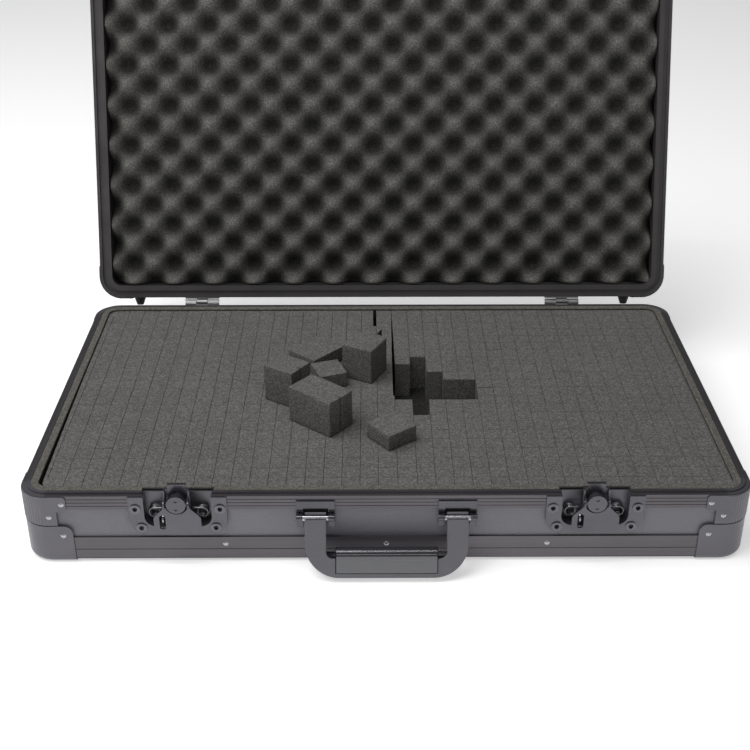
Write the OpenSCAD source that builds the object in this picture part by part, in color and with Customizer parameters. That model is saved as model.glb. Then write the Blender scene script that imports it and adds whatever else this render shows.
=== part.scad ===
// Low flight case with a hinged lid, cut foam in the base and wavy foam in the lid.
// Millimetres. Origin: centre of the underside. X runs across, the front faces -Y, Z is up.
// The case lies open with its lid leaning back and its handle resting on the table.

/* [Case] */
// Outer width of the case
case_w = 590; // [480:1:800]
// Outer depth of the case, front to back
case_d = 354; // [300:1:480]
// Height of the base, underside to rim
base_h = 64; // [60:1:120]
// Height of the lid, rim to outer top
lid_h = 40; // [38:1:80]
// Radius of the upright corners, seen from above
corner_r = 22; // [21:1:30]
// Angle that the open lid has turned from closed
lid_open = 109.5; // [95:0.5:125]
// Gap between the two rims when the case is shut
parting_gap = 0.4; // [0.3:0.1:1]

/* [Aluminium profiles] */
// Sheet thickness of the profiles
profile_t = 1.6; // [1.2:0.1:2]
// Width of the rim profile, seen from above
rim_w = 12.5; // [12:0.5:16]
// Height of the rim profile
rim_band = 12.5; // [11:0.5:16]
// Distance of the tongue from the outer face
tongue_in = 3.6; // [3:0.1:4.5]
// Width of the tongue on the base's rim
tongue_w = 3; // [2:0.5:3.5]
// Height of the tongue on the base's rim
tongue_h = 1.5; // [1:0.5:3]
// Gap round the tongue in the lid's groove
tongue_gap = 0.6; // [0.4:0.1:1]
// Height of the base's edge profile
base_edge_h = 24; // [22:1:32]
// Height of the lid's edge profile
lid_edge_h = 18; // [16:1:20]
// Rounding of the edge profiles
edge_round = 6; // [6:1:12]
// Reach of the edge profiles over the outer panel
edge_reach = 20; // [18:0.5:20.5]
// Thickness of the wall panels
panel_t = 4; // [3:0.5:4]
// Play of a panel in its channel
panel_play = 0.1; // [0.1:0.05:0.3]

/* [Corners and rivets] */
// Sheet thickness of the corner pieces
corner_t = 1; // [0.8:0.1:1.5]
// Length of a cap's legs, from the case's corner
cap_leg = 41.3; // [36:0.1:48]
// Height of a cap above the seam of the edge profile
cap_rise = 11.5; // [8:0.5:14]
// Length of a bracket's legs, from the case's corner
bracket_leg = 30; // [28:1:32]
// Reach of a bracket's tab past its leg
bracket_tab = 8.4; // [6:0.1:9]
// Height of a bracket's tab
tab_h = 14; // [12:0.5:16]
// Radius of a rivet's head
rivet_r = 2.2; // [1.6:0.1:2.6]
// Height of a rivet's head
rivet_h = 0.9; // [0.6:0.1:1.2]
// Distance between the rivets along an edge profile
edge_rivet_pitch = 131; // [100:1:160]

/* [Foam] */
// Side of one foam square
foam_cell = 15; // [12:0.5:20]
// Depth of the plucked foam layer
pick_h = 35; // [25:1:40]
// Gap between the foam and the rim
foam_gap = 0.8; // [0.5:0.1:2]
// Spacing of the lid foam's peaks, both ways
egg_pitch = 21; // [18:0.5:26]
// Height of the lid foam's peaks above its hollows
egg_wave = 17; // [10:1:22]
// Gap between the lid foam and the rim
egg_gap = 3; // [2.9:0.1:5]

/* [Hinges and feet] */
// Distance of a hinge from the case's side
hinge_in = 106; // [96:1:130]
// Width of a hinge
hinge_w = 35; // [30:1:50]
// Hinge axis behind the rear face
pivot_out = 5; // [5:0.1:7]
// Hinge axis above the base's rim
pivot_up = 1; // [0.5:0.1:1.5]
// Radius of a hinge knuckle
knuckle_r = 3; // [2.6:0.1:3.2]
// Radius of a hinge pin
hinge_pin_r = 1.5; // [1:0.1:1.8]
// Thickness of a hinge leaf
leaf_t = 1.5; // [1:0.1:1.6]
// Distance of a rear foot from the case's side
foot_in = 40; // [40:1:64]
// Radius of a foot at its seat
foot_r = 6; // [5:0.1:6.2]
// Height of a foot, from the profile's face
foot_h = 8; // [7:0.5:10]
// Distance of the base's feet below its rim
foot_drop = 22; // [20:1:26]

/* [Latches] */
// Distance of a latch from the case's side
latch_in = 127.6; // [100:0.1:135]
// Width of the latch plate
latch_w = 79; // [76:1:90]
// Thickness of the latch plate
plate_t = 1.5; // [1:0.1:1.5]
// Width of the recess in the latch plate
dish_w = 54; // [52:1:58]
// Depth of the recess
dish_d = 8; // [7.8:0.1:8.2]
// Thickness of the recess walls
dish_t = 1.2; // [0.8:0.1:1.2]
// Rotor axis below the rim
rotor_drop = 3.9; // [3.5:0.1:6]
// Radius of the rotor disc
rotor_r = 7.8; // [7.2:0.1:8.4]
// Radius of the rotor's shaft
shaft_r = 3; // [2.5:0.1:3.2]
// Width of the hook plate
hook_w = 21; // [20:0.5:22]
// Width of the hook's claw
claw_w = 15; // [12:0.5:16]
// Height of the raised claw above the rim
hook_rise = 10; // [9:0.1:10.5]
// Travel of the hook, down and inwards alike
hook_travel = 3.3; // [3:0.1:3.4]
// Reach of the wing below the rotor axis
wing_reach = 27.5; // [27:0.5:30]
// Width of the wing at its foot
wing_foot_w = 38; // [34:0.5:40]
// Width of the wing at its hinge
wing_top_w = 21; // [20.8:0.1:22]
// Thickness of the wing
wing_t = 1.5; // [1:0.1:1.5]
// Wire of the latch springs
spring_wire = 1.3; // [1:0.1:1.4]
// Outer width of a spring's coil
spring_d = 10; // [9:0.5:10.5]
// Turns of a spring
spring_turns = 2.5; // [1.5:1:2.5]
// Distance of a spring from the rotor axis
spring_x = 19.3; // [18.5:0.1:20]

/* [Handle] */
// Distance between the handle's arms, middle to middle
arm_pitch = 114; // [100:1:130]
// Width of an arm
arm_w = 17; // [14:0.5:19]
// Thickness of the handle
arm_t = 9; // [7:0.5:10]
// Reach of the handle, from its pins to its outer edge
handle_reach = 48; // [44:0.5:49]
// Height of the bar
bar_h = 15.5; // [11:0.5:17]
// Outer corner radius of the handle
handle_r = 28; // [20:1:30]
// Lean of the resting handle from upright
handle_lean = 25; // [24:0.5:35]
// Radius of a handle pin
handle_pin_r = 2.5; // [2:0.1:2.6]
// Height of the handle pins above the table
handle_pin_z = 46; // [45.5:0.1:48]
// Width of a handle bracket
handle_bracket_w = 31; // [29:0.5:34]
// Height of a handle bracket above its pin
handle_bracket_rise = 13.5; // [11:0.5:14]
// Reach of a handle bracket below its pin
handle_bracket_drop = 11.5; // [9:0.5:13]
// Length of the grip's round part
grip_w = 82; // [60:1:86]
// Thickness of the grip's round part
grip_t = 12; // [11:0.5:15]
// Height of the grip above the handle's bar
grip_rise = 9; // [6:0.1:10]

/* [Hidden] */
$fn = 64;

// Sides in turn: front, right, rear, left
FRONT = 0;
RIGHT = 1;
REAR = 2;
LEFT = 3;
DISH_CUT = 1;
CATCH_CUT = 2;

metal = [0.30, 0.30, 0.32];
panel_colour = [0.36, 0.36, 0.38];
bright = [0.62, 0.62, 0.64];
dark = [0.10, 0.10, 0.11];
foam_colour = [0.27, 0.27, 0.26];
egg_colour = [0.22, 0.22, 0.21];

eps = 0.01;
running_gap = 0.05;
front_y = -case_d / 2;
rear_y = case_d / 2;
hinge_x = case_w / 2 - hinge_in;
foot_x = case_w / 2 - foot_in;
latch_x = case_w / 2 - latch_in;
lid_rim_z = base_h + parting_gap;
panel_in = profile_t + panel_play;
channel_in = panel_in + panel_t + panel_play;
skin_t = panel_t;
inner_floor = skin_t + panel_play + profile_t;
outer_panel_gap = 0.2;
groove_h = 0.6;
groove_d = 0.4;
groove_in = tongue_in - tongue_gap;
groove_out = tongue_in + tongue_w + tongue_gap;
groove_sink = tongue_h + tongue_gap;
cap_play = 0.9;
rear_bracket_cut = 4;
cap_gap = 0.3;
lower_rivet_in = 23.6;
cap_round = 7;
foam_top = base_h - 0.5;
foam_floor = foam_top - pick_h;
foam_half_w = case_w / 2 - rim_w - foam_gap;
foam_half_d = case_d / 2 - rim_w - foam_gap;
foam_r = max(corner_r - rim_w - foam_gap, 1);
foam_play = 0.3;
hinge_play = 0.4;
leaf_drop = 20;

// Plucked hole: left edge of its columns, front and rear end of each, and how far down it goes
hole_x = 10.5;
hole_front = -22;
hole_cols = [0, 1, 2, 3, 4];
hole_rear = [45.4, 60.4, 30.4, 15.4, 15.4];
step_front = -49.7;
step_h = 25;

// Loose blocks: middle, turn, length, width and height
loose_blocks = [
    [[-87.5, -18], -34, 31.5, 28.5, 35],
    [[-56.1, -62.1], -40, 48, 30.5, 34],
    [[-18, 27.4], -28, 31, 32, 34],
    [[-51, 11], 20, 27, 29, 15],
    [[-63, 53], -42, 35, 45, 15],
    [[5.3, -89.8], -52, 31, 30.5, 15],
];

// Latch, seen from the front, with its rotor axis at x = 0 and u running into the case
rotor_z = base_h - rotor_drop;
dish_bottom = base_h - 28;
dish_corner = 9;
plate_bottom = base_h - 36.5;
plate_corner = 15;
shaft_head = 1.5;
shaft_head_t = 1;
shaft_head_r = min(shaft_r + 2, rotor_drop);
hook_t = 1.5;
hook_low = rotor_z - 13;
hook_flange = 3;
hook_out = 1.1;
hook_top = base_h + hook_rise;
hook_neck = base_h + 6;
claw_reach = 2;
claw_play = 0.4;
catch_w = hook_w + 3;
catch_h = hook_rise + 5;
catch_d = 8.2;
catch_t = 0.8;
catch_flange = 6;
lip_in = hook_out + hook_travel + hook_t + 0.5;
lip_top = hook_top - hook_travel - hook_t - claw_play;
rivet_up = 7.2;
rivet_low = 25.2;
eyelet_r = 4.4;
eyelet_hole = 1.9;
eyelet_h = 1.1;
eyelet_places = [for (sx = [-1, 1]) each [
    [sx * (latch_w / 2 - 5.5), rotor_z - rivet_up],
    [sx * (latch_w / 2 - 9.5), rotor_z - rivet_low],
]];
wing_out = plate_t + 3.1;
wing_gap = 1.6;
disc_back = 3.5;
disc_front = 7.5;
wing_axis_out = 6;
wing_pin_r = 1.2;
wing_play = 0.6;
ear_r = 3;
wing_flare_top = 2;
wing_flare_end = 14.5;
wing_notch = 2;
wing_foot_r = 4;
slot_x = -12;
slot_w = 5;
slot_len = 13.5;
slot_drop = 17.2;
staple_r = 3;
staple_wire = 1;
spring_z = base_h - 17.2;
spring_gap = 0.45;
spring_back = 0.3;

// Handle, drawn hanging straight down from its pins at the origin
handle_out = 4.8;
handle_bracket_t = 1.5;
handle_window = 20;
handle_window_rise = 7;
handle_knuckle_r = 3;
saddle_gap = 0.08;
inner_r = 5.6;
grip_play = 0.1;
bar_web = 3.5;
arm_wrap = 4.6;

// Runs and corners of the shell. A half has its outer face at v = 0 and its rim at v = h,
// and u runs inwards from the outer face.

function side_length(side) = (side % 2 == 0 ? case_w : case_d) - 2 * corner_r;

module on_side(side) {
    across = side % 2 == 0 ? case_d / 2 : case_w / 2;
    rotate([0, 0, 90 * side])
        translate([0, -across, 0])
            children();
}

module run(length) {
    translate([-length / 2, 0, 0])
        rotate([90, 0, 90])
            linear_extrude(length)
                children();
}

module at_corners() {
    for (i = [0:3]) {
        sx = i == 0 || i == 3 ? 1 : -1;
        sy = i < 2 ? 1 : -1;
        $bracket_cut = i < 2 ? rear_bracket_cut : 0;
        translate([sx * (case_w / 2 - corner_r), sy * (case_d / 2 - corner_r), 0])
            rotate([0, 0, 90 * i])
                children();
    }
}

module radial() {
    translate([corner_r, 0])
        mirror([1, 0])
            children();
}

module bend() {
    rotate_extrude(angle = 90)
        radial()
            children();
}

module lid_closed() {
    translate([0, 0, lid_rim_z + lid_h])
        mirror([0, 0, 1])
            children();
}

module lid_pose() {
    translate([0, rear_y + pivot_out, base_h + pivot_up])
        rotate([-lid_open, 0, 0])
            translate([0, -rear_y - pivot_out, -base_h - pivot_up])
                children();
}

module on_lid() {
    lid_pose()
        lid_closed()
            children();
}

// Profiles in section

module grooves(h) {
    for (i = [1:3])
        translate([-eps, h - i * rim_band / 4 - groove_h / 2])
            square([groove_d + eps, groove_h]);
}

module rim_section(h, tongue) {
    floor_v = h - (tongue ? 0 : groove_sink);
    difference() {
        union() {
            for (u = [0, rim_w - profile_t])
                translate([u, h - rim_band])
                    square([profile_t, rim_band]);
            translate([channel_in, h - rim_band])
                square([profile_t, floor_v - h + rim_band]);
            if (tongue) {
                translate([0, h - profile_t])
                    square([rim_w, profile_t]);
                translate([tongue_in, h - eps])
                    square([tongue_w, tongue_h + eps]);
            } else {
                translate([0, h - profile_t])
                    square([groove_in, profile_t]);
                translate([groove_out, h - profile_t])
                    square([rim_w - groove_out, profile_t]);
                for (u = [groove_in - profile_t, groove_out])
                    translate([u, floor_v - profile_t])
                        square([profile_t, groove_sink + profile_t]);
                translate([groove_in - profile_t, floor_v - profile_t])
                    square([groove_out - groove_in + 2 * profile_t, profile_t]);
            }
        }
        grooves(h);
    }
}

module round_corner(size) {
    intersection() {
        square([size, size]);
        translate([size, size])
            circle(size);
    }
}

module edge_skin(h, round, t) {
    difference() {
        union() {
            translate([0, round])
                square([t, h - round]);
            round_corner(round);
            translate([round, 0])
                square([eps, t]);
        }
        translate([round, round])
            circle(round - t);
        translate([t, round])
            square([round, h]);
    }
}

// Where the web under a wall panel leaves the middle of the rounded skin
skin_mid = edge_round - profile_t / 2;
web_mid = edge_round + profile_t / 2 - inner_floor;
web_start = edge_round - sqrt(skin_mid * skin_mid - web_mid * web_mid);

module edge_section(h) {
    difference() {
        union() {
            edge_skin(h, edge_round, profile_t);
            translate([edge_round, 0])
                square([edge_reach - edge_round, profile_t]);
            translate([edge_reach - profile_t, 0])
                square([profile_t, inner_floor]);
            translate([channel_in, skin_t + panel_play])
                square([corner_r - channel_in, profile_t]);
            translate([channel_in, skin_t + panel_play])
                square([profile_t, h - skin_t - panel_play]);
            translate([web_start, inner_floor - profile_t])
                square([channel_in + profile_t / 2 - web_start, profile_t]);
        }
        translate([-eps, h / 2])
            square([groove_d + eps, groove_h]);
        translate([edge_round * (1 - cos(30)), edge_round * (1 - sin(30))])
            circle(groove_d * 1.5, $fn = 16);
    }
}

module wall_cut(kind, h) {
    if (kind == DISH_CUT)
        for (sx = [-1, 1])
            translate([sx * latch_x - dish_w / 2 - dish_t - panel_play, -1, dish_bottom - dish_t - panel_play])
                cube([dish_w + 2 * (dish_t + panel_play), 1 + dish_d + dish_t + shaft_head, h]);
    if (kind == CATCH_CUT)
        for (sx = [-1, 1])
            translate([sx * latch_x - catch_w / 2 - catch_t - panel_play, -1, h - catch_h - catch_t - panel_play])
                cube([catch_w + 2 * (catch_t + panel_play), 1 + catch_d + catch_t + panel_play, h]);
}

module rim_run(side, h, tongue, cut = 0) {
    difference() {
        on_side(side)
            run(side_length(side))
                rim_section(h, tongue);
        on_side(FRONT)
            wall_cut(cut, h);
    }
}

module edge_run(side, h) {
    on_side(side)
        run(side_length(side))
            edge_section(h);
}

module wall_panel(side, h, cut = 0, sink = 0) {
    difference() {
        on_side(side)
            run(side_length(side))
                translate([panel_in, edge_round + panel_play])
                    square([panel_t, h - sink - profile_t - panel_play - edge_round - panel_play]);
        on_side(FRONT)
            wall_cut(cut, h);
    }
}

module outer_panel() {
    inset = 2 * (edge_reach + outer_panel_gap);
    translate([-case_w / 2 + inset / 2, -case_d / 2 + inset / 2, 0])
        cube([case_w - inset, case_d - inset, skin_t]);
}

// Corner pieces

module cap_section(top, inner, flange) {
    intersection() {
        translate([-corner_t, 0])
            square([corner_r + corner_t, top]);
        union() {
            translate([-corner_t, edge_round])
                square([corner_t + inner, top - edge_round]);
            difference() {
                intersection() {
                    translate([-corner_t, -corner_t])
                        square(edge_round + corner_t);
                    translate([edge_round, edge_round])
                        circle(edge_round + corner_t);
                }
                translate([edge_round, edge_round])
                    circle(edge_round - inner);
            }
            if (flange)
                translate([edge_round - eps, 0])
                    square([edge_reach - edge_round - 1, profile_t]);
        }
    }
}

function cap_top(edge_h, h) = min(edge_h + cap_rise, h - rim_band - cap_play);

module corner_cap(edge_h, h) {
    top = cap_top(edge_h, h);
    rise = top - edge_h;
    leg = cap_leg - corner_r;
    bend()
        cap_section(top, profile_t, true);
    for (flip = [0, 1])
        mirror([flip, -flip, 0])
            difference() {
                rotate([90, 0, 0])
                    linear_extrude(leg)
                        radial()
                            cap_section(top, -cap_gap, false);
                translate([0, -leg, edge_h])
                    rotate([90, 0, 90])
                        linear_extrude(case_w)
                            difference() {
                                translate([-1, 0])
                                    square([cap_round + 1, rise + 1]);
                                translate([cap_round, rise - cap_round])
                                    circle(cap_round);
                                translate([-2, -1])
                                    square([2 * cap_round, rise - cap_round + 1]);
                            }
            }
}

module corner_bracket(edge_h, h, tongue) {
    low = cap_top(edge_h, h) + cap_play;
    leg = bracket_leg - $bracket_cut - corner_r;
    tab = leg + bracket_tab - $bracket_cut / 4;
    high = min(tab_h, h - low - corner_t / 2);
    bend()
        union() {
            rim_section(h, tongue);
            translate([-corner_t, low])
                square([corner_t + eps, h - low - corner_t / 2]);
            translate([-eps, low])
                square([profile_t, h - low - rim_band + eps]);
        }
    for (flip = [0, 1])
        mirror([flip, -flip, 0])
            rotate([90, 0, 90])
                translate([0, 0, corner_r])
                    linear_extrude(corner_t)
                        union() {
                            translate([-leg, low])
                                square([leg, h - low - corner_t / 2]);
                            translate([-tab, h - corner_t / 2 - high])
                                rounded_square(tab, high, 3);
                        }
}

module rounded_square(w, h, r) {
    translate([0, r])
        square([w, h - 2 * r]);
    translate([r, 0])
        square([w - 2 * r, h]);
    for (x = [r, w - r], y = [r, h - r])
        translate([x, y])
            circle(r, $fn = 32);
}

module rivet() {
    dome_r = (rivet_r * rivet_r + rivet_h * rivet_h) / (2 * rivet_h);
    rotate_extrude()
        intersection() {
            translate([0, rivet_h - dome_r])
                circle(dome_r, $fn = 128);
            square([rivet_r, rivet_h]);
        }
}

module half_rivets(edge_h, h) {
    face = corner_r + corner_t;
    low = cap_top(edge_h, h) + cap_play;
    high = min(tab_h, h - low - corner_t / 2);
    at_corners() {
        for (flip = [0, 1])
            mirror([flip, -flip, 0]) {
                translate([face, corner_r - bracket_leg - bracket_tab + 1.25 * $bracket_cut + 3.6, h - (high + corner_t) / 2])
                    rotate([0, 90, 0])
                        rivet();
                translate([face, corner_r - cap_leg + 8, edge_h + rivet_r])
                    rotate([0, 90, 0])
                        rivet();
                if (h > low + tab_h + 4 * rivet_r)
                    translate([face, corner_r - lower_rivet_in, low + 2 * rivet_r + cap_round / 2])
                        rotate([0, 90, 0])
                            rivet();
            }
    }
    for (side = [FRONT, REAR], i = [-1:1])
        on_side(side)
            translate([i * edge_rivet_pitch, 0, edge_h * 0.72])
                rotate([90, 0, 0])
                    rivet();
    for (side = [RIGHT, LEFT])
        on_side(side)
            translate([0, 0, edge_h * 0.72])
                rotate([90, 0, 0])
                    rivet();
}

// Foam

module rounded_plate(half_x, half_y, r, z0, z1) {
    translate([0, 0, z0])
        linear_extrude(z1 - z0)
            translate([-half_x, -half_y])
                rounded_square(2 * half_x, 2 * half_y, r);
}

module foam_layer() {
    difference() {
        rounded_plate(foam_half_w, foam_half_d, foam_r, foam_floor, foam_top);
        for (i = [0:len(hole_cols) - 1])
            translate([hole_x + foam_cell * hole_cols[i] - eps, hole_front, foam_floor - 1])
                cube([foam_cell + 2 * eps, hole_rear[i] - hole_front, pick_h + 2]);
        translate([hole_x + foam_cell, step_front, foam_top - step_h])
            cube([foam_cell, hole_front - step_front + eps, step_h + 1]);
    }
}

module foam_blocks() {
    for (b = loose_blocks)
        translate([b[0][0], b[0][1], foam_top + foam_play])
            rotate([0, 0, b[1]])
                translate([-b[2] / 2, -b[3] / 2, 0])
                    cube([b[2], b[3], b[4]]);
}

// Peaks and hollows take turns on a square grid, as rows of sine waves do

egg_half_w = case_w / 2 - rim_w - egg_gap;
egg_half_d = case_d / 2 - rim_w - egg_gap;
egg_nx = 2 * round(egg_half_w / egg_pitch);
egg_ny = 2 * round(egg_half_d / egg_pitch);
egg_dx = 2 * egg_half_w / egg_nx;
egg_dy = 2 * egg_half_d / egg_ny;
egg_top = lid_h - 1.5;
egg_back = inner_floor + panel_play;

function egg_height(i, j) = egg_top - ((i + j) % 2 == 0 ? egg_wave : 0);
function egg_index(i, j) = j * (egg_nx + 1) + i;

module egg_foam() {
    count = (egg_nx + 1) * (egg_ny + 1);
    ring = concat(
        [for (i = [0:egg_nx - 1]) [i, 0]],
        [for (j = [0:egg_ny - 1]) [egg_nx, j]],
        [for (i = [egg_nx:-1:1]) [i, egg_ny]],
        [for (j = [egg_ny:-1:1]) [0, j]]
    );
    n = len(ring);
    top = [for (j = [0:egg_ny], i = [0:egg_nx])
        [-egg_half_w + i * egg_dx, -egg_half_d + j * egg_dy, egg_height(i, j)]];
    back = [for (r = ring) [-egg_half_w + r[0] * egg_dx, -egg_half_d + r[1] * egg_dy, egg_back]];
    cells = [for (j = [0:egg_ny - 1], i = [0:egg_nx - 1], half = [0, 1])
        let (a = egg_index(i, j), b = egg_index(i, j + 1), c = egg_index(i + 1, j + 1), d = egg_index(i + 1, j))
        (i + j) % 2 == 0
        ? (half == 0 ? [a, b, c] : [a, c, d])
        : (half == 0 ? [a, b, d] : [d, b, c])];
    sides = [for (k = [0:n - 1], half = [0, 1])
        let (
            next = (k + 1) % n,
            up = egg_index(ring[k][0], ring[k][1]),
            up_next = egg_index(ring[next][0], ring[next][1])
        )
        half == 0 ? [up, up_next, count + next] : [up, count + next, count + k]];
    base = [for (k = [0:n - 1]) [count + n, count + k, count + (k + 1) % n]];
    polyhedron(points = concat(top, back, [[0, 0, egg_back]]), faces = concat(cells, sides, base));
}

// Hinges and feet

module hinge_frame() {
    for (sx = [-1, 1])
        translate([sx * hinge_x, rear_y + pivot_out, base_h + pivot_up])
            children();
}

module knuckle(x0, x1) {
    translate([x0, 0, 0])
        rotate([0, 90, 0])
            cylinder(h = x1 - x0, r = knuckle_r);
}

module pin_bore(r, length) {
    translate([-length / 2, 0, 0])
        rotate([0, 90, 0])
            cylinder(h = length, r = r);
}

module leaf_plate(z0, z1) {
    translate([-hinge_w / 2, -pivot_out, z0])
        cube([hinge_w, leaf_t, z1 - z0]);
}

module base_leaf() {
    knuckle_w = hinge_w / 3;
    plate_top = -pivot_up - 0.8;
    difference() {
        union() {
            leaf_plate(-pivot_up - leaf_drop, plate_top);
            for (x = [-hinge_w / 2, hinge_w / 2 - knuckle_w + hinge_play]) {
                knuckle(x, x + knuckle_w - hinge_play);
                translate([x, -pivot_out, plate_top - leaf_t])
                    cube([knuckle_w - hinge_play, pivot_out, leaf_t]);
            }
        }
        pin_bore(hinge_pin_r + running_gap, hinge_w + 2);
    }
}

module lid_leaf() {
    knuckle_w = hinge_w / 3;
    difference() {
        union() {
            leaf_plate(0, leaf_drop - 1);
            knuckle(-knuckle_w / 2, knuckle_w / 2);
            translate([-knuckle_w / 2, -pivot_out, knuckle_r - leaf_t + 0.2])
                cube([knuckle_w, pivot_out, leaf_t - 0.2]);
        }
        pin_bore(hinge_pin_r + running_gap, hinge_w + 2);
    }
}

module foot(seat, v) {
    for (sx = [-1, 1])
        on_side(REAR)
            translate([sx * foot_x, seat, v])
                rotate([90, 0, 0])
                    cylinder(h = foot_h + seat, r1 = foot_r, r2 = foot_r * 0.56);
}

// Latches, drawn at x = 0 with y = 0 on the case's front face

module at_latch(sx) {
    translate([sx * latch_x, front_y, 0])
        children();
}

module round_bottomed(w, z0, z1, r) {
    translate([-w / 2, z0 + r])
        square([w, z1 - z0 - r]);
    intersection() {
        translate([-w / 2, z0])
            square([w, r + eps]);
        union() {
            translate([-w / 2 + r, z0])
                square([w - 2 * r, r + eps]);
            for (sx = [-1, 1])
                translate([sx * (w / 2 - r), z0 + r])
                    circle(r);
        }
    }
}

// Extrudes an outline in x and z from depth y0 to depth y1
module slab(y0, y1) {
    translate([0, y1, 0])
        rotate([90, 0, 0])
            linear_extrude(y1 - y0)
                children();
}

module latch_plate() {
    plate_top = base_h - 0.5;
    difference() {
        union() {
            slab(-plate_t, 0)
                round_bottomed(latch_w, plate_bottom, plate_top, plate_corner);
            slab(-plate_t, dish_d + dish_t)
                round_bottomed(dish_w + 2 * dish_t, dish_bottom - dish_t, plate_top, dish_corner + dish_t);
        }
        slab(-plate_t - 1, dish_d)
            round_bottomed(dish_w, dish_bottom, base_h + 1, dish_corner);
        translate([0, dish_d + dish_t + 1, rotor_z])
            rotate([90, 0, 0])
                cylinder(h = dish_t + 2, r = shaft_r + running_gap);
        for (p = eyelet_places)
            translate([p[0], 1, p[1]])
                rotate([90, 0, 0])
                    cylinder(h = plate_t + 2, r = eyelet_hole);
    }
}

module eyelets() {
    for (p = eyelet_places)
        translate([p[0], -plate_t, p[1]])
            rotate([90, 0, 0])
                rotate_extrude()
                    translate([eyelet_hole, 0])
                        intersection() {
                            square([eyelet_r - eyelet_hole, eyelet_h]);
                            translate([(eyelet_r - eyelet_hole) / 2, eyelet_h - (eyelet_r - eyelet_hole)])
                                circle(eyelet_r - eyelet_hole);
                        }
}

module hook() {
    difference() {
        union() {
            translate([-hook_w / 2, hook_out, hook_low])
                cube([hook_w, hook_t, hook_neck - hook_low]);
            translate([-claw_w / 2, hook_out, base_h])
                cube([claw_w, hook_t, hook_rise]);
            translate([-claw_w / 2, hook_out, hook_top - hook_t])
                cube([claw_w, hook_t + claw_reach, hook_t]);
            for (x = [-hook_w / 2, hook_w / 2 - hook_t])
                translate([x, hook_out - hook_flange, rotor_z - 10])
                    cube([hook_t, hook_flange + eps, hook_neck - rotor_z + 10]);
        }
        slab(hook_out - 1, hook_out + hook_t + 1)
            translate([0, rotor_z])
                union() {
                    for (z = [0, hook_travel])
                        translate([0, z])
                            circle(shaft_r + claw_play);
                    translate([-shaft_r - claw_play, 0])
                        square([2 * (shaft_r + claw_play), hook_travel]);
                }
    }
}

module rotor() {
    translate([0, 0, rotor_z])
        rotate([90, 0, 0])
            difference() {
                union() {
                    translate([0, 0, -dish_d - dish_t - shaft_head + 0.3])
                        cylinder(h = shaft_head_t, r = shaft_head_r);
                    translate([0, 0, -dish_d - dish_t - shaft_head + 0.3])
                        cylinder(h = dish_d + dish_t + shaft_head, r = shaft_r);
                    translate([0, 0, wing_play - hook_out])
                        cylinder(h = disc_back + hook_out - wing_play + eps, r = rotor_r - 1.3);
                    translate([0, 0, 1.4])
                        cylinder(h = 1.6, r = rotor_r - 0.5);
                    translate([0, 0, disc_back])
                        cylinder(h = disc_front - disc_back, r = rotor_r);
                    translate([-wing_top_w / 2, 0, wing_axis_out])
                        rotate([0, 90, 0])
                            cylinder(h = wing_top_w, r = wing_pin_r);
                }
                for (y = [-1, 1])
                    translate([0, y * rotor_r / 2, disc_front - 0.6])
                        cylinder(h = 1, r = 1.4);
            }
}

wing_steps = 12;

function wing_half(t) = (wing_top_w + (wing_foot_w - wing_top_w) * (1 - cos(180 * t)) / 2) / 2;

module wing_outline() {
    flare = wing_flare_end - wing_flare_top;
    side = [for (i = [0:wing_steps])
        [wing_half(i / wing_steps), -wing_flare_top - flare * i / wing_steps]];
    foot = [for (a = [0:15:90])
        [wing_foot_w / 2 - wing_foot_r * (1 - cos(a)), -wing_reach + wing_foot_r * (1 - sin(a))]];
    right = concat([[wing_top_w / 2, 0]], side, foot);
    left = [for (i = [len(right) - 1:-1:0]) [-right[i][0], right[i][1]]];
    polygon(concat(right, left));
}

module wing() {
    ear_x = wing_top_w / 2 - wing_t;
    difference() {
        union() {
            slab(-wing_out - wing_t, -wing_out)
                translate([0, rotor_z])
                    difference() {
                        wing_outline();
                        circle(rotor_r + wing_gap);
                        polygon([
                            [-wing_notch, -wing_reach - eps],
                            [wing_notch, -wing_reach - eps],
                            [0, wing_notch - wing_reach],
                        ]);
                        translate([slot_x - slot_w / 2, -slot_drop - slot_len / 2 + slot_w / 2])
                            square([slot_w, slot_len - slot_w]);
                        for (z = [-1, 1])
                            translate([slot_x, -slot_drop + z * (slot_len - slot_w) / 2])
                                circle(slot_w / 2);
                    }
            for (x = [-wing_top_w / 2, ear_x])
                translate([x, 0, 0])
                    rotate([90, 0, 90])
                        linear_extrude(wing_t)
                            union() {
                                translate([-wing_axis_out, rotor_z])
                                    circle(ear_r);
                                translate([-wing_axis_out, rotor_z - rotor_r])
                                    square([wing_axis_out - wing_out, rotor_r]);
                                translate([-wing_axis_out - ear_r, rotor_z - ear_r])
                                    square([ear_r, ear_r]);
                            }
        }
        translate([0, -wing_axis_out, rotor_z])
            pin_bore(wing_pin_r + running_gap, wing_top_w + 2);
    }
}

module staple() {
    arch_y = -wing_out + 0.3 + staple_r + staple_wire;
    translate([slot_x, arch_y, rotor_z - slot_drop])
        union() {
            rotate([90, 0, 90])
                rotate([0, 0, 90])
                    rotate_extrude(angle = 180)
                        translate([staple_r, 0])
                            circle(staple_wire, $fn = 32);
            for (z = [-1, 1])
                translate([0, dish_d - arch_y, z * staple_r])
                    rotate([90, 0, 0])
                        cylinder(h = dish_d - arch_y, r = staple_wire);
        }
}

// A latch spring: a leg, the coil and a leg as one tube, the coil's axis along y

spring_sides = 6;
spring_rings = 8;
coil_r = (spring_d - spring_wire) / 2;
coil_pitch = spring_wire + spring_gap;
coil_count = spring_turns * spring_rings;
leg_len = spring_x - hook_w / 2 - 0.7;
spring_y = dish_d - spring_back - spring_wire / 2;

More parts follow.
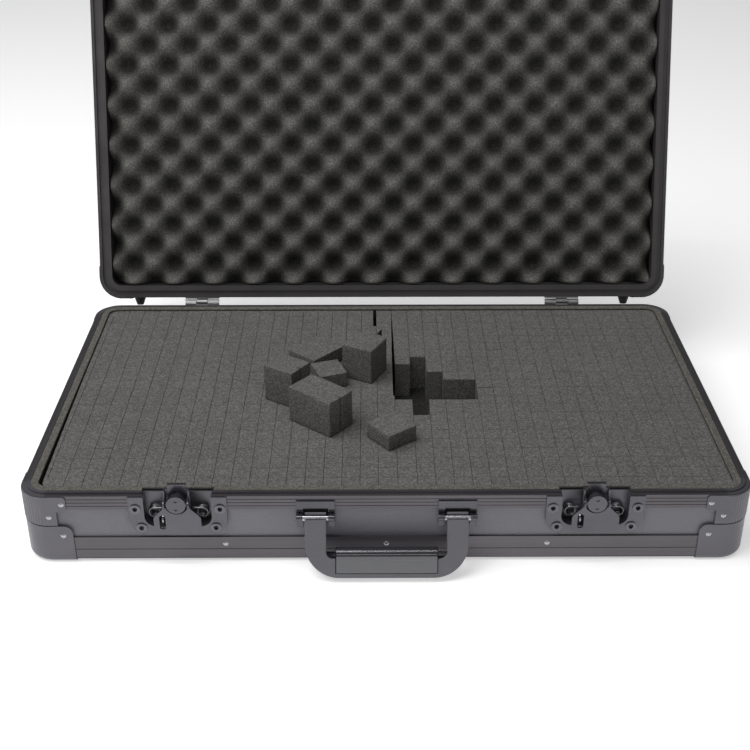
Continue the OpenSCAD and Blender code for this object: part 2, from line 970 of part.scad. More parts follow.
function coil_point(i) =
    let (a = 270 - 360 * i / spring_rings)
    [-spring_x + coil_r * cos(a), spring_y - coil_pitch * i / spring_rings, spring_z + coil_r * sin(a)];
function coil_out(i) =
    let (a = 270 - 360 * i / spring_rings)
    [cos(a), 0, sin(a)];

spring_path = concat(
    [coil_point(0) + [leg_len, 0, 0], coil_point(0) + [leg_len / 2, 0, 0]],
    [for (i = [0:coil_count]) coil_point(i)],
    [coil_point(coil_count) + [leg_len / 2, 0, 0], coil_point(coil_count) + [leg_len, 0, 0]]
);
spring_normals = concat(
    [coil_out(0), coil_out(0)],
    [for (i = [0:coil_count]) coil_out(i)],
    [coil_out(coil_count), coil_out(coil_count)]
);
spring_least_gap = min([for (i = [0:len(spring_path) - 1], j = [0:len(spring_path) - 1])
    if (j - i > spring_rings / 2) norm(spring_path[j] - spring_path[i]) - spring_wire]);
echo(spring_least_gap = spring_least_gap);

module spring_tube() {
    n = len(spring_path);
    points = [for (i = [0:n - 1], k = [0:spring_sides - 1])
        let (a = 360 * k / spring_sides)
        spring_path[i] + spring_wire / 2 * (cos(a) * spring_normals[i] + [0, sin(a), 0])];
    sides = [for (i = [0:n - 2], k = [0:spring_sides - 1], half = [0, 1])
        let (a = i * spring_sides + k, b = i * spring_sides + (k + 1) % spring_sides)
        half == 0 ? [a, b, a + spring_sides] : [b, b + spring_sides, a + spring_sides]];
    ends = [for (k = [1:spring_sides - 2], last = [0, 1])
        last == 0
        ? [0, k + 1, k]
        : [(n - 1) * spring_sides, (n - 1) * spring_sides + k, (n - 1) * spring_sides + k + 1]];
    polyhedron(points = points, faces = concat(sides, ends));
}

module spring_pair() {
    for (flip = [0, 1])
        mirror([flip, 0, 0])
            spring_tube();
}

module catch_plate() {
    top = lid_rim_z + catch_h;
    difference() {
        union() {
            slab(-catch_t, 0)
                translate([-catch_w / 2 - catch_flange, lid_rim_z + 0.2])
                    square([catch_w + 2 * catch_flange, catch_h + catch_t + 1]);
            slab(-catch_t, catch_d + catch_t)
                translate([-catch_w / 2 - catch_t, lid_rim_z + 0.2])
                    square([catch_w + 2 * catch_t, catch_h + catch_t - 0.2]);
        }
        slab(-1 - catch_t, catch_d)
            translate([-catch_w / 2, lid_rim_z - 1])
                square([catch_w, catch_h + 1]);
    }
    slab(lip_in, catch_d + catch_t)
        translate([-catch_w / 2 - catch_t, lid_rim_z + 0.2])
            square([catch_w + 2 * catch_t, lip_top - lid_rim_z - 0.2]);
}

// Handle, hanging straight down from its pins, then leaned out to the table

module handle_pose() {
    translate([0, front_y - handle_out, handle_pin_z])
        rotate([-handle_lean, 0, 0])
            children();
}

module handle_frame_shape() {
    half = (arm_pitch + arm_w) / 2;
    difference() {
        union() {
            slab(-arm_t / 2, arm_t / 2)
                difference() {
                    round_bottomed(2 * half, -handle_reach, 0, handle_r);
                    round_bottomed(2 * half - 2 * arm_w, -handle_reach + bar_h, 1, inner_r);
                }
            for (sx = [-1, 1])
                translate([sx * arm_pitch / 2 - arm_w / 2, 0, 0])
                    rotate([0, 90, 0])
                        cylinder(h = arm_w, r = arm_wrap);
        }
        for (sx = [-1, 1])
            translate([sx * arm_pitch / 2, 0, 0]) {
                pin_bore(handle_pin_r + saddle_gap, arm_w + 2);
                translate([-arm_w, -2 * arm_wrap, -handle_pin_r / 2])
                    cube([2 * arm_w, 2 * arm_wrap, 2 * arm_wrap]);
            }
        translate([-grip_w / 2 - grip_play, -arm_t, -handle_reach + bar_web - grip_play])
            cube([grip_w + 2 * grip_play, 2 * arm_t, handle_reach]);
    }
}

module grip_shape() {
    roll_z = -handle_reach + bar_h + grip_rise - grip_t / 2;
    translate([-grip_w / 2, 0, roll_z])
        rotate([0, 90, 0])
            cylinder(h = grip_w, r = grip_t / 2);
    translate([-grip_w / 2, -arm_t / 2, -handle_reach + bar_web])
        cube([grip_w, arm_t, roll_z + handle_reach - bar_web]);
}

module handle_bracket() {
    leg_w = (handle_bracket_w - handle_window) / 2;
    knuckle_w = leg_w - 0.3;
    difference() {
        union() {
            slab(-handle_bracket_t, 0)
                difference() {
                    translate([-handle_bracket_w / 2, -handle_bracket_drop])
                        square([handle_bracket_w, handle_bracket_rise + handle_bracket_drop]);
                    translate([-handle_window / 2, -handle_bracket_drop - 1])
                        square([handle_window, handle_bracket_drop + 1 + handle_window_rise]);
                }
            for (x = [-handle_bracket_w / 2, handle_bracket_w / 2 - knuckle_w]) {
                translate([x, -handle_out, 0])
                    rotate([0, 90, 0])
                        cylinder(h = knuckle_w, r = handle_knuckle_r);
                translate([x, -handle_out, -handle_knuckle_r])
                    cube([knuckle_w, handle_out, handle_knuckle_r * 1.5]);
            }
        }
        translate([0, -handle_out, 0])
            pin_bore(handle_pin_r + running_gap, handle_bracket_w + 2);
    }
}

module at_arms() {
    for (sx = [-1, 1])
        translate([sx * arm_pitch / 2, front_y, handle_pin_z])
            children();
}

// One module for each piece

module base_bottom_panel() { color(panel_colour) outer_panel(); }
module base_panel_front() { color(panel_colour) wall_panel(FRONT, base_h, DISH_CUT); }
module base_panel_rear() { color(panel_colour) wall_panel(REAR, base_h); }
module base_panel_left() { color(panel_colour) wall_panel(LEFT, base_h); }
module base_panel_right() { color(panel_colour) wall_panel(RIGHT, base_h); }
module base_edge_front() { color(metal) edge_run(FRONT, base_edge_h); }
module base_edge_rear() { color(metal) edge_run(REAR, base_edge_h); }
module base_edge_left() { color(metal) edge_run(LEFT, base_edge_h); }
module base_edge_right() { color(metal) edge_run(RIGHT, base_edge_h); }
module base_rim_front() { color(metal) rim_run(FRONT, base_h, true, DISH_CUT); }
module base_rim_rear() { color(metal) rim_run(REAR, base_h, true); }
module base_rim_left() { color(metal) rim_run(LEFT, base_h, true); }
module base_rim_right() { color(metal) rim_run(RIGHT, base_h, true); }
module base_corner_caps() { color(metal) at_corners() corner_cap(base_edge_h, base_h); }
module base_corner_brackets() { color(metal) at_corners() corner_bracket(base_edge_h, base_h, true); }
module base_rivets() { color(bright) half_rivets(base_edge_h, base_h); }
module base_feet() { color(dark) foot(panel_in, base_h - foot_drop); }

module base_foam() {
    color(foam_colour)
        rounded_plate(foam_half_w, foam_half_d, foam_r, inner_floor + foam_play, foam_floor - foam_play);
}

module pick_foam() { color(foam_colour) foam_layer(); }
module loose_foam_blocks() { color(foam_colour) foam_blocks(); }

module lid_top_panel() { color(panel_colour) on_lid() outer_panel(); }
module lid_panel_front() { color(panel_colour) on_lid() wall_panel(FRONT, lid_h, CATCH_CUT, sink = groove_sink); }
module lid_panel_rear() { color(panel_colour) on_lid() wall_panel(REAR, lid_h, sink = groove_sink); }
module lid_panel_left() { color(panel_colour) on_lid() wall_panel(LEFT, lid_h, sink = groove_sink); }
module lid_panel_right() { color(panel_colour) on_lid() wall_panel(RIGHT, lid_h, sink = groove_sink); }
module lid_edge_front() { color(metal) on_lid() edge_run(FRONT, lid_edge_h); }
module lid_edge_rear() { color(metal) on_lid() edge_run(REAR, lid_edge_h); }
module lid_edge_left() { color(metal) on_lid() edge_run(LEFT, lid_edge_h); }
module lid_edge_right() { color(metal) on_lid() edge_run(RIGHT, lid_edge_h); }
module lid_rim_front() { color(metal) on_lid() rim_run(FRONT, lid_h, false, CATCH_CUT); }
module lid_rim_rear() { color(metal) on_lid() rim_run(REAR, lid_h, false); }
module lid_rim_left() { color(metal) on_lid() rim_run(LEFT, lid_h, false); }
module lid_rim_right() { color(metal) on_lid() rim_run(RIGHT, lid_h, false); }
module lid_corner_caps() { color(metal) on_lid() at_corners() corner_cap(lid_edge_h, lid_h); }
module lid_corner_brackets() { color(metal) on_lid() at_corners() corner_bracket(lid_edge_h, lid_h, false); }
module lid_rivets() { color(bright) on_lid() half_rivets(lid_edge_h, lid_h); }
module lid_feet() { color(dark) on_lid() foot(0, lid_h - rim_band / 2); }
module lid_foam() { color(egg_colour) on_lid() egg_foam(); }

module catch_plates() {
    color(metal)
        lid_pose()
            for (sx = [-1, 1])
                at_latch(sx)
                    catch_plate();
}

module hinge_base_leaves() { color(bright) hinge_frame() base_leaf(); }

module hinge_lid_leaves() {
    color(bright)
        lid_pose()
            hinge_frame()
                lid_leaf();
}

module hinge_pins() { color(bright) hinge_frame() pin_bore(hinge_pin_r, hinge_w); }

module handle_frame() { color(dark) handle_pose() handle_frame_shape(); }
module handle_grip() { color(dark) handle_pose() grip_shape(); }
module handle_brackets() { color(bright) at_arms() handle_bracket(); }

module handle_pins() {
    color(bright)
        at_arms()
            translate([0, -handle_out, 0])
                pin_bore(handle_pin_r, handle_bracket_w);
}

module latch_left_plate() { color(metal) at_latch(-1) latch_plate(); }
module latch_left_hook() { color(metal) at_latch(-1) hook(); }
module latch_left_rotor() { color(metal) at_latch(-1) rotor(); }
module latch_left_wing() { color(metal) at_latch(-1) wing(); }
module latch_left_springs() { color(bright) at_latch(-1) spring_pair(); }
module latch_left_staple() { color(bright) at_latch(-1) staple(); }
module latch_right_plate() { color(metal) at_latch(1) latch_plate(); }
module latch_right_hook() { color(metal) at_latch(1) hook(); }
module latch_right_rotor() { color(metal) at_latch(1) rotor(); }
module latch_right_wing() { color(metal) at_latch(1) wing(); }
module latch_right_springs() { color(bright) at_latch(1) spring_pair(); }
module latch_right_staple() { color(bright) at_latch(1) staple(); }

module latch_eyelets() {
    color(bright)
        for (sx = [-1, 1])
            at_latch(sx)
                eyelets();
}

base_bottom_panel();
base_panel_front();
base_panel_rear();
base_panel_left();
base_panel_right();
base_edge_front();
base_edge_rear();
base_edge_left();
base_edge_right();
base_rim_front();
base_rim_rear();
base_rim_left();
base_rim_right();
base_corner_caps();
base_corner_brackets();
base_rivets();
base_feet();
base_foam();
pick_foam();
loose_foam_blocks();
lid_top_panel();
lid_panel_front();
lid_panel_rear();
lid_panel_left();
lid_panel_right();
lid_edge_front();
lid_edge_rear();
lid_edge_left();
lid_edge_right();
lid_rim_front();
lid_rim_rear();
lid_rim_left();
lid_rim_right();
lid_corner_caps();
lid_corner_brackets();
lid_rivets();
lid_feet();
lid_foam();
catch_plates();
hinge_base_leaves();
hinge_lid_leaves();
hinge_pins();
handle_frame();
handle_grip();
handle_brackets();
handle_pins();
latch_left_plate();
latch_left_hook();
latch_left_rotor();
latch_left_wing();
latch_left_springs();
latch_left_staple();
latch_right_plate();
latch_right_hook();
latch_right_rotor();
latch_right_wing();
latch_right_springs();
latch_right_staple();
latch_eyelets();
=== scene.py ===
import math
import random

import bmesh
import bpy
import numpy as np
from mathutils import Matrix, Vector


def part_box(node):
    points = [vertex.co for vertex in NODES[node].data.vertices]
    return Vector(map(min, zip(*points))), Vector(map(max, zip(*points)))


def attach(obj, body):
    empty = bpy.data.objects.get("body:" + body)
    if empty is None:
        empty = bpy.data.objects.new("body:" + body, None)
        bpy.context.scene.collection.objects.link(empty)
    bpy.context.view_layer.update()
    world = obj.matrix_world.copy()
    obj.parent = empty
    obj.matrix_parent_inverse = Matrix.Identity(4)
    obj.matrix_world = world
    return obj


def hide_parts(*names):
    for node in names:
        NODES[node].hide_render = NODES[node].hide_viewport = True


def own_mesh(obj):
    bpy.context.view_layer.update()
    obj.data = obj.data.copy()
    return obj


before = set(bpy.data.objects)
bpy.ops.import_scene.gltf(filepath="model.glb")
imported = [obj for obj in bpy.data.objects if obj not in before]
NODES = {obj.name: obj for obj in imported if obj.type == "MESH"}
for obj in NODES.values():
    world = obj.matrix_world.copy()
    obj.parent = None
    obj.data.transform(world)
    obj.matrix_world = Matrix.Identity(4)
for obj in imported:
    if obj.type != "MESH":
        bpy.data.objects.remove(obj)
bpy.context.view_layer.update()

MM = 0.001


def linked(name, data):
    obj = bpy.data.objects.new(name, data)
    bpy.context.scene.collection.objects.link(obj)
    return obj


# Sizes that the source names too, in metres
HALF_W = 0.295
HALF_D = 0.177
BASE_H = 0.064
RIM_Z = 0.0644
CORNER_R = 0.022
RIM_W = 0.0125
FOAM_TOP = 0.0635
FOAM_FLOOR = 0.0285
FOAM_HALF_W = 0.2817
FOAM_HALF_D = 0.1637
FOAM_R = 0.0087
CELL = 0.015
PIVOT = Vector((0, 0.182, 0.065))
LID_OPEN = math.radians(109.5)
LATCH_X = 0.1674
HANDLE_PIN = Vector((0, -0.1818, 0.046))
HANDLE_LEAN = math.radians(25)

LID_POSE = Matrix.Translation(PIVOT) @ Matrix.Rotation(-LID_OPEN, 4, "X") @ Matrix.Translation(-PIVOT)
HANDLE_POSE = Matrix.Translation(HANDLE_PIN) @ Matrix.Rotation(-HANDLE_LEAN, 4, "X")


# Materials

class Shader:
    """A principled material on object coordinates; turn is the lean of pieces on the lid."""

    def __init__(self, name, colour, roughness, metallic=0.0, turn=0.0, **sockets):
        self.mat = bpy.data.materials.new(name)
        self.mat.use_nodes = True
        self.tree = self.mat.node_tree
        self.bsdf = self.tree.nodes["Principled BSDF"]
        self.bsdf.inputs["Base Color"].default_value = (*colour, 1)
        self.bsdf.inputs["Roughness"].default_value = roughness
        self.bsdf.inputs["Metallic"].default_value = metallic
        for key, value in sockets.items():
            self.bsdf.inputs[key.replace("_", " ")].default_value = value
        self.colour = colour
        self.turn = turn
        self.height = None

    def node(self, kind, **values):
        made = self.tree.nodes.new(kind)
        for key, value in values.items():
            setattr(made, key, value)
        return made

    def link(self, a, b):
        self.tree.links.new(a, b)

    def coords(self, stretch=(1, 1, 1)):
        texture = self.node("ShaderNodeTexCoord")
        turned = self.node("ShaderNodeMapping")
        turned.inputs["Rotation"].default_value = (self.turn, 0, 0)
        self.link(texture.outputs["Object"], turned.inputs["Vector"])
        scaled = self.node("ShaderNodeMapping")
        scaled.inputs["Scale"].default_value = stretch
        self.link(turned.outputs["Vector"], scaled.inputs["Vector"])
        return scaled.outputs["Vector"]

    def noise(self, scale, detail=4.0, rough=0.6, stretch=(1, 1, 1)):
        made = self.node("ShaderNodeTexNoise")
        made.inputs["Scale"].default_value = scale
        made.inputs["Detail"].default_value = detail
        made.inputs["Roughness"].default_value = rough
        self.link(self.coords(stretch), made.inputs["Vector"])
        return made.outputs["Fac"]

    def cells(self, scale, feature="F1"):
        made = self.node("ShaderNodeTexVoronoi", feature=feature)
        made.inputs["Scale"].default_value = scale
        self.link(self.coords(), made.inputs["Vector"])
        return made.outputs["Distance"]

    def spread(self, value, low, high, out_low, out_high):
        made = self.node("ShaderNodeMapRange")
        made.inputs["From Min"].default_value = low
        made.inputs["From Max"].default_value = high
        made.inputs["To Min"].default_value = out_low
        made.inputs["To Max"].default_value = out_high
        self.link(value, made.inputs["Value"])
        return made.outputs["Result"]

    def shade(self, *factors):
        """Multiplies the base colour by each factor."""
        last = None
        for factor in factors:
            mix = self.node("ShaderNodeVectorMath", operation="MULTIPLY")
            if last is None:
                mix.inputs[0].default_value = self.colour
            else:
                self.link(last, mix.inputs[0])
            self.link(factor, mix.inputs[1])
            last = mix.outputs["Vector"]
        self.link(last, self.bsdf.inputs["Base Color"])

    def rough(self, value):
        self.link(value, self.bsdf.inputs["Roughness"])

    def bump(self, value, distance, strength=1.0):
        made = self.node("ShaderNodeBump")
        made.inputs["Distance"].default_value = distance
        made.inputs["Strength"].default_value = strength
        self.link(value, made.inputs["Height"])
        if self.height is not None:
            self.link(self.height, made.inputs["Normal"])
        self.height = made.outputs["Normal"]
        self.link(self.height, self.bsdf.inputs["Normal"])

    def attribute(self, name):
        return self.node("ShaderNodeAttribute", attribute_name=name).outputs["Fac"]

    def local(self, origin, lean):
        """X, Y and Z measured from origin, on a part that leans round X."""
        texture = self.node("ShaderNodeTexCoord")
        turned = self.node("ShaderNodeMapping", vector_type="TEXTURE")
        turned.inputs["Location"].default_value = origin
        turned.inputs["Rotation"].default_value = (lean, 0, 0)
        self.link(texture.outputs["Object"], turned.inputs["Vector"])
        parts = self.node("ShaderNodeSeparateXYZ")
        self.link(turned.outputs["Vector"], parts.inputs["Vector"])
        return [parts.outputs[axis] for axis in "XYZ"]

    def blend(self, a, b, factor):
        """Colour a turning into colour b as factor grows from 0 to 1."""
        made = self.node("ShaderNodeMix", data_type="RGBA")
        colour_a, colour_b = [socket for socket in made.inputs if socket.type == "RGBA"]
        for socket, value in ((colour_a, a), (colour_b, b)):
            if isinstance(value, tuple):
                socket.default_value = (*value, 1)
            else:
                self.link(value, socket)
        self.link(factor, made.inputs[0])
        return next(socket for socket in made.outputs if socket.type == "RGBA")

    def maths(self, operation, a, b=0.0):
        made = self.node("ShaderNodeMath", operation=operation)
        for socket, value in zip(made.inputs, (a, b)):
            if isinstance(value, (int, float)):
                socket.default_value = value
            else:
                self.link(value, socket)
        return made.outputs["Value"]


def drawn_metal(name, colour, along, turn=0.0):
    """Anodised profile, with fine lines along its length."""
    roughness = 0.36
    s = Shader(name, colour, roughness, 0.75, turn)
    fine = {"x": (3, 900, 900), "y": (900, 3, 900)}[along]
    lines = s.noise(1.0, 3.0, 0.7, fine)
    cloud = s.noise(14.0, 3.0, 0.5)
    s.shade(s.spread(lines, 0.3, 0.7, 0.9, 1.1), s.spread(cloud, 0.3, 0.7, 0.93, 1.07))
    s.rough(s.spread(lines, 0.25, 0.75, roughness - 0.06, roughness + 0.08))
    s.bump(lines, 0.00002, 0.5)
    return s.mat


def satin_metal(name, colour, roughness, metallic, turn=0.0):
    """Plated or painted sheet, with faint clouds and grain."""
    s = Shader(name, colour, roughness, metallic, turn)
    grains = s.noise(1400.0, 2.0)
    cloud = s.noise(30.0, 4.0, 0.6)
    s.shade(s.spread(cloud, 0.3, 0.7, 0.9, 1.1), s.spread(grains, 0.3, 0.7, 0.96, 1.04))
    s.rough(s.spread(cloud, 0.3, 0.7, roughness - 0.05, roughness + 0.07))
    s.bump(grains, 0.00001, 0.4)
    return s.mat


def pebbled(name, colour, roughness, scale, depth, turn=0.0):
    """Plastic laminate with a fine pebble grain."""
    s = Shader(name, colour, roughness, 0.0, turn)
    grains = s.cells(scale, "SMOOTH_F1")
    cloud = s.noise(9.0, 4.0, 0.6)
    s.shade(s.spread(grains, 0.0, 0.8, 0.88, 1.1), s.spread(cloud, 0.3, 0.7, 0.94, 1.06))
    s.rough(s.spread(cloud, 0.3, 0.7, roughness - 0.04, roughness + 0.05))
    s.bump(grains, depth, 0.6)
    return s.mat


def foam(name, colour, shade_hollows=False):
    """Open-cell foam: fine open cells, pale specks and soft clouds; optionally painted shade in the
    hollows and painted light on the peaks, from a height attribute.
    """
    s = Shader(name, colour, 0.95, 0.0, 0.0, Specular_IOR_Level=0.05)
    cells = s.cells(1100.0)
    specks = s.noise(620.0, 2.0, 0.7)
    cloud = s.noise(16.0, 4.0, 0.6)
    factors = [s.spread(cells, 0.05, 0.6, 0.72, 1.18), s.spread(specks, 0.42, 0.68, 0.8, 1.6),
               s.spread(cloud, 0.3, 0.7, 0.94, 1.06)]
    # Painted shade and painted light: the colour is scaled from 0.3 in the hollows to 1.3 on the peaks
    if shade_hollows:
        factors.append(s.spread(s.attribute("height"), 0.15, 0.9, 0.3, 1.3))
    s.shade(*factors)
    s.bump(cells, 0.00025, 0.6)
    s.bump(specks, 0.00025, 0.5)
    return s.mat


def gripped(name, roll, panel):
    """The grip: a glossy roll above a flat matt panel, with a dark joint round the panel."""
    s = Shader(name, panel, 0.4)
    x, _, z = s.local(HANDLE_PIN, -HANDLE_LEAN)
    on_roll = s.spread(z, GRIP_SEAM_Z - 0.0006, GRIP_SEAM_Z + 0.0006, 0.0, 1.0)
    beside = s.maths("SUBTRACT", s.maths("ABSOLUTE", x), GRIP_HALF_W - 0.0006)
    below = s.maths("SUBTRACT", GRIP_FOOT_Z + 0.0005, z)
    joint = s.maths("GREATER_THAN", s.maths("MAXIMUM", beside, below), 0.0)
    s.link(s.blend(s.blend(panel, roll, on_roll), BLACK, joint), s.bsdf.inputs["Base Color"])
    s.rough(s.spread(on_roll, 0.0, 1.0, 0.42, 0.2))
    s.link(s.maths("MULTIPLY", on_roll, 0.85), s.bsdf.inputs["Metallic"])
    s.bump(s.noise(1500.0, 3.0, 0.7), 0.00002, 0.5)
    return s.mat


def moulded(name, colour, roughness):
    """Moulded plastic with a fine spark-eroded texture."""
    s = Shader(name, colour, roughness)
    grains = s.noise(1800.0, 3.0, 0.7)
    cloud = s.noise(25.0, 3.0)
    s.shade(s.spread(grains, 0.3, 0.7, 0.85, 1.18), s.spread(cloud, 0.3, 0.7, 0.95, 1.05))
    s.rough(s.spread(cloud, 0.3, 0.7, roughness - 0.04, roughness + 0.05))
    s.bump(grains, 0.00006, 0.6)
    return s.mat


METAL = (0.120, 0.113, 0.122)
CORNER = (0.128, 0.124, 0.139)
PANEL = (0.172, 0.169, 0.187)
FOAM = (0.118, 0.115, 0.110)
EGG = (0.085, 0.083, 0.078)
CHROME = (0.42, 0.42, 0.44)
LATCH = (0.112, 0.112, 0.125)
BLACK = (0.004, 0.004, 0.004)

# The grip in the handle's own frame, its pins at the origin
GRIP_HALF_W = 0.041
GRIP_FOOT_Z = -0.0445
GRIP_ROLL_Z = -0.0295
GRIP_SEAM_Z = GRIP_ROLL_Z - 0.004

MATERIALS = {
    "edge_x": drawn_metal("profile_across", METAL, "x"),
    "edge_y": drawn_metal("profile_along", METAL, "y"),
    "lid_edge_x": drawn_metal("lid_profile_across", METAL, "x", LID_OPEN),
    "lid_edge_y": drawn_metal("lid_profile_along", METAL, "y", LID_OPEN),
    "panel": pebbled("wall_laminate", PANEL, 0.42, 1100.0, 0.00008),
    "lid_panel": pebbled("lid_laminate", PANEL, 0.42, 1100.0, 0.00008, LID_OPEN),
    "corner": satin_metal("corner_finish", CORNER, 0.34, 0.55),
    "rivet": satin_metal("rivet_finish", (0.46, 0.46, 0.48), 0.3, 0.9),
    "eyelet": satin_metal("eyelet_finish", (0.14, 0.14, 0.155), 0.22, 0.85),
    "spring": satin_metal("spring_steel", (0.22, 0.22, 0.23), 0.28, 0.95),
    "rubber_black": moulded("pad_rubber", (0.006, 0.006, 0.006), 0.8),
    "rubber": moulded("foot_rubber", (0.022, 0.022, 0.023), 0.6),
    "nickel": satin_metal("hinge_nickel", (0.26, 0.26, 0.26), 0.36, 0.9),
    "dark_nickel": satin_metal("bracket_nickel", (0.10, 0.10, 0.11), 0.2, 0.9),
    "chrome": satin_metal("pin_chrome", CHROME, 0.14, 1.0),
    "latch": satin_metal("latch_finish", LATCH, 0.3, 0.8),
    "recess": satin_metal("latch_plate_finish", (0.12, 0.12, 0.132), 0.33, 0.75),
    "handle": moulded("handle_texture", (0.138, 0.136, 0.148), 0.5),
    "grip": gripped("grip_finish", (0.12, 0.12, 0.128), (0.170, 0.172, 0.182)),
    "foam": foam("cut_foam", FOAM),
    # The lid foam gets painted shade in its hollows and painted light on its peaks
    "lid_foam": foam("wavy_foam", EGG, shade_hollows=True),
    "seal": foam("seal_strip", (0.112, 0.108, 0.097)),
    # Foam darkened as painted shade, for the floor of the plucked hole
    "painted_shade_bottom_foam": foam("painted_shade_bottom_foam", (0.03, 0.029, 0.028)),
    # The lid's rim and corner brackets: metal darkened as painted shade
    "lid_rim": satin_metal("lid_rim_painted_shade", (0.082, 0.077, 0.078), 0.42, 0.6, LID_OPEN),
}


def material_of(name):
    lid = name.startswith("lid_")
    if "foam" in name:
        return "foam"
    if "panel" in name:
        return "lid_panel" if lid else "panel"
    if name.startswith("lid_rim_") or name == "lid_corner_brackets":
        return "lid_rim"
    if "_edge_" in name or "_rim_" in name:
        across = name.endswith("front") or name.endswith("rear")
        return ("lid_" if lid else "") + ("edge_x" if across else "edge_y")
    if "corner" in name:
        return "corner"
    if name.endswith("_rivets"):
        return "rivet"
    if name.endswith("_feet"):
        return "rubber"
    if name.startswith("hinge"):
        return "nickel"
    if name == "handle_frame":
        return "handle"
    if name == "handle_grip":
        return "grip"
    if name == "handle_brackets":
        return "dark_nickel"
    if name == "latch_eyelets":
        return "eyelet"
    if "springs" in name:
        return "spring"
    if name == "handle_pins" or "staple" in name:
        return "chrome"
    if name.endswith("_plate") or name == "catch_plates":
        return "recess"
    return "latch"


# Edges: width of the rounding that a CAD node's sharp edges get, in millimetres, and its steps
SOFTENED = {
    "base_corner_caps": (0.3, 2), "base_corner_brackets": (0.25, 2), "lid_corner_caps": (0.3, 2),
    "lid_corner_brackets": (0.25, 2), "handle_frame": (1.3, 3), "handle_grip": (0.8, 3),
    "handle_brackets": (0.35, 2), "catch_plates": (0.25, 2), "hinge_base_leaves": (0.25, 2),
    "hinge_lid_leaves": (0.25, 2), "base_feet": (0.6, 2), "lid_feet": (0.6, 2),
}
for side in ("left", "right"):
    SOFTENED["latch_%s_plate" % side] = (0.35, 2)
    SOFTENED["latch_%s_hook" % side] = (0.3, 2)
    SOFTENED["latch_%s_rotor" % side] = (0.35, 2)
    SOFTENED["latch_%s_wing" % side] = (0.3, 2)


def soften(obj, width, steps):
    weld = obj.modifiers.new("weld", "WELD")
    weld.merge_threshold = 0.00001
    flat = obj.modifiers.new("flat", "DECIMATE")
    flat.decimate_type = "DISSOLVE"
    flat.angle_limit = math.radians(1)
    bevel = obj.modifiers.new("bevel", "BEVEL")
    bevel.width = width * MM
    bevel.segments = steps
    bevel.limit_method = "ANGLE"
    bevel.angle_limit = math.radians(35)
    bevel.harden_normals = False
    for polygon in obj.data.polygons:
        polygon.use_smooth = True
    normals = obj.modifiers.new("normals", "WEIGHTED_NORMAL")
    normals.keep_sharp = True


for name, obj in NODES.items():
    obj.data.materials.clear()
    obj.data.materials.append(MATERIALS[material_of(name)])
    if name in SOFTENED:
        soften(obj, *SOFTENED[name])


# Mesh helpers

def mesh_object(name, verts, faces, material, smooth=False):
    mesh = bpy.data.meshes.new(name)
    mesh.from_pydata([tuple(v) for v in verts], [], faces)
    mesh.validate()
    obj = linked(name, mesh)
    mesh.materials.append(MATERIALS[material])
    for polygon in mesh.polygons:
        polygon.use_smooth = smooth
    return obj


def column(verts, faces, outline, low, high, lift):
    """Adds a prism with a rounded upper edge. lift gives each top corner's extra height."""
    middle = sum((Vector(p) for p in outline), Vector((0, 0))) / len(outline)
    n = len(outline)
    start = len(verts)

    def inset(p, amount):
        d = Vector(p) - middle
        return Vector((p[0] - math.copysign(min(amount, abs(d.x)), d.x),
                       p[1] - math.copysign(min(amount, abs(d.y)), d.y)))

    rings = [(0, low, 0), (0, high - TOP_ROUND, 1),
             (0.3 * TOP_ROUND, high - 0.3 * TOP_ROUND, 1), (TOP_ROUND, high, 1)]
    for amount, z, lifted in rings:
        for p, up in zip(outline, lift):
            q = inset(p, amount)
            verts.append((q.x, q.y, z + lifted * up))
    for r in range(len(rings) - 1):
        for k in range(n):
            a = start + r * n + k
            c = start + r * n + (k + 1) % n
            faces.append((a, c, c + n, a + n))
    faces.append(tuple(start + (len(rings) - 1) * n + k for k in range(n)))
    faces.append(tuple(start + n - 1 - k for k in range(n)))


# Cut foam in the base: square columns with slits between them, some plucked

# The plucked hole: its columns' front, each one's rear, and the one that goes on as a step
HOLE_X = 0.0105
HOLE_FRONT = -0.022
HOLE_REAR = [0.0454, 0.0604, 0.0304, 0.0154, 0.0154]
STEP_COLUMN = 1
STEP_FRONT = -0.0497
STEP_H = 0.025

# Lines that the squares are counted from, left of the hole and from front to rear
LEFT_X = 0.0087
ROW_0 = 0.0154
SLIT_X = 0.00025
SLIT_Y = 0.00018
TOP_ROUND = 0.25 * MM
UNEVEN_COLUMN = 0.00003
UNEVEN_CORNER = 0.00004
NEAR = 0.001

# Slits that stand open in the photograph; the wedge runs back from the plucked hole
WEDGE_LINE = 0.0095
WEDGE_FRONT = 0.048
WEDGE_LEFT = (0.0083, 0.0093)
WEDGE_RIGHT = (0.0110, 0.0093)
SLOT_LINE = -0.0063
SLOT_FRONT = 0.1276
SLOT_W = 0.0030
TEAR = [(-0.0063, 0.1100), (-0.0009, 0.1054), (-0.0009, 0.1204)]
CROSS_SLIT_X = 0.0855
CROSS_SLIT_Y = 0.0004
CROSS_SLIT_W = 0.0010
EDGE_GAP = 0.0028
EDGE_REACH = 0.004


def near(a, b):
    return abs(a - b) < NEAR


def grid_lines(first, half):
    low = first - CELL * math.floor((first + half) / CELL)
    count = int((half - low) / CELL)
    return [-half] + [low + CELL * i for i in range(count + 1)] + [half]


def columns_across():
    left = [x for x in grid_lines(LEFT_X, FOAM_HALF_W) if x < LEFT_X - NEAR]
    right = [x for x in grid_lines(HOLE_X, FOAM_HALF_W) if x > HOLE_X + NEAR]
    return left + [WEDGE_LINE] + right


def left_pull(y):
    """How far the foam's left edge is drawn in from the rim, growing towards the front."""
    t = (FOAM_HALF_D - y) / (2 * FOAM_HALF_D)
    return EDGE_GAP * t * t


